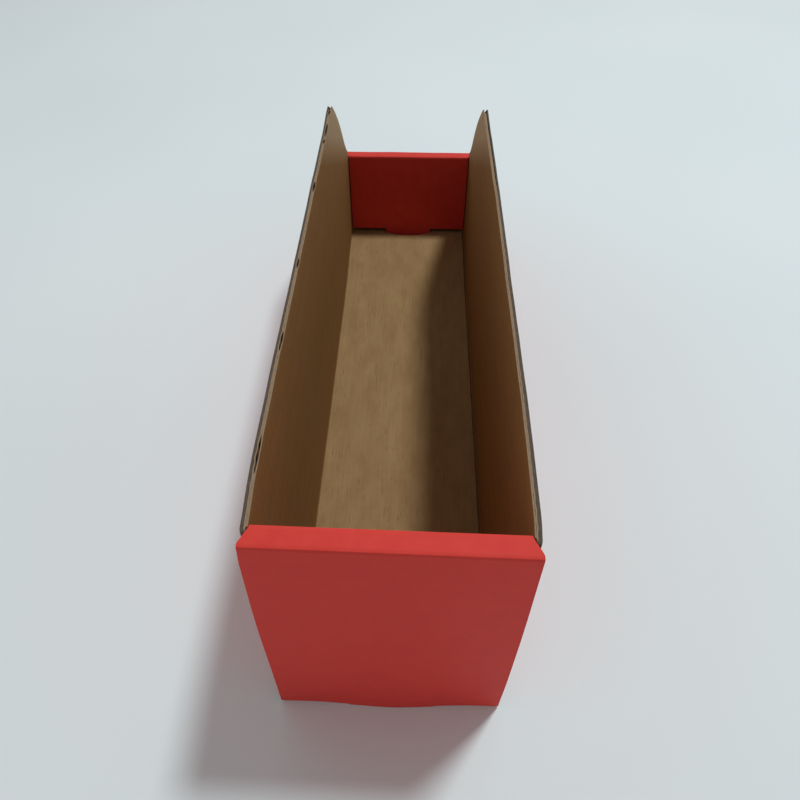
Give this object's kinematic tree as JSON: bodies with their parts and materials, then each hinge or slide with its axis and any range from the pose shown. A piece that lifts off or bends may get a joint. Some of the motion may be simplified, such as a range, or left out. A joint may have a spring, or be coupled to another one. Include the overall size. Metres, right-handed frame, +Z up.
{
  "type": "cardboard storage bin",
  "caption": "Long narrow open-top shelf bin folded from one sheet of corrugated board, with one tall and one low rolled-over end and curved wall cuts.",
  "frame": {"origin": "middle of the underside, in the plane that the bin stands on", "axes": "+Z up, +Y along the length from the tall end to the low end, +X across the width"},
  "size_m": [0.102, 0.4, 0.146],
  "materials": {
    "red_print": "flood-printed coated liner, satin",
    "kraft_liner": "plain brown kraft liner, matt",
    "cut_edge": "die-cut board edge, matt"
  },
  "bodies": {
    "root": {"folded_bin": "red_print"}
  },
  "joints": []
}
